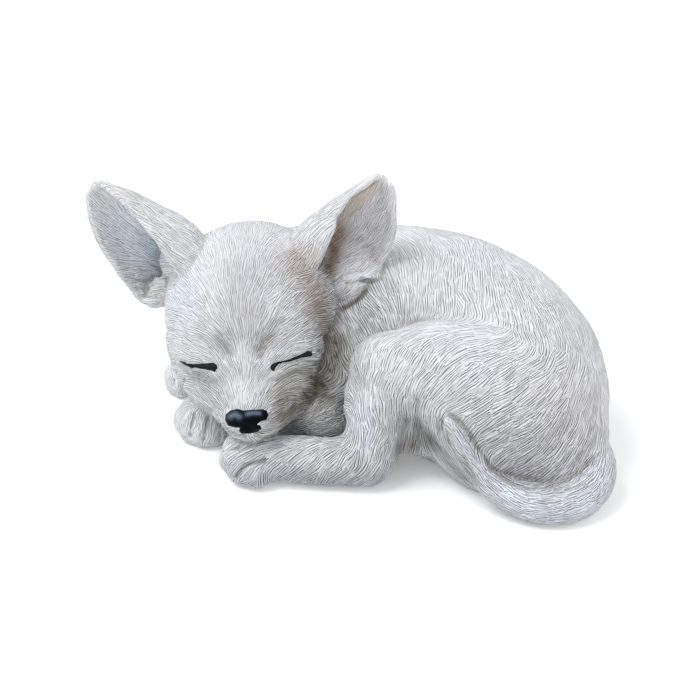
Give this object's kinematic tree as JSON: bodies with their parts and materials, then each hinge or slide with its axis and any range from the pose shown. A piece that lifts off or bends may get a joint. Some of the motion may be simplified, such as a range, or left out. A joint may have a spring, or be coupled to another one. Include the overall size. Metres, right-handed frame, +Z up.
{
  "type": "sleeping dog garden statue",
  "caption": "Hollow cast stone-resin garden figure of a small big-eared dog asleep, curled up with its tail round it, with a painted nose and closed eyes.",
  "frame": {"origin": "on the floor, under the middle of the figure's box", "axes": "+Z up; the face looks towards -Y; +X runs along the figure from the head to the tail"},
  "size_m": [0.2708, 0.1848, 0.147],
  "materials": {
    "cast_stone": "matte cast stone resin, carved with fine hair grooves",
    "nose_paint": "glossy black paint",
    "eye_paint": "satin black paint in the carved eye lines",
    "plate_resin": "plain cast resin",
    "stopper_rubber": "matte black rubber",
    "pin_steel": "plain steel rod"
  },
  "bodies": {
    "root": {"body_casting": "cast_stone", "head_casting": "cast_stone", "left_ear": "cast_stone", "right_ear": "cast_stone", "near_hind_leg": "cast_stone", "near_forepaw": "cast_stone", "far_forepaw": "cast_stone", "tail": "cast_stone", "nose": "nose_paint", "left_eye_line": "eye_paint", "right_eye_line": "eye_paint", "base_plate": "plate_resin", "filler_stopper": "stopper_rubber", "neck_dowel": "pin_steel", "left_ear_pin": "pin_steel", "right_ear_pin": "pin_steel", "hind_leg_pin": "pin_steel", "near_forepaw_pin": "pin_steel", "far_forepaw_pin": "pin_steel", "tail_pin": "pin_steel"}
  },
  "joints": []
}
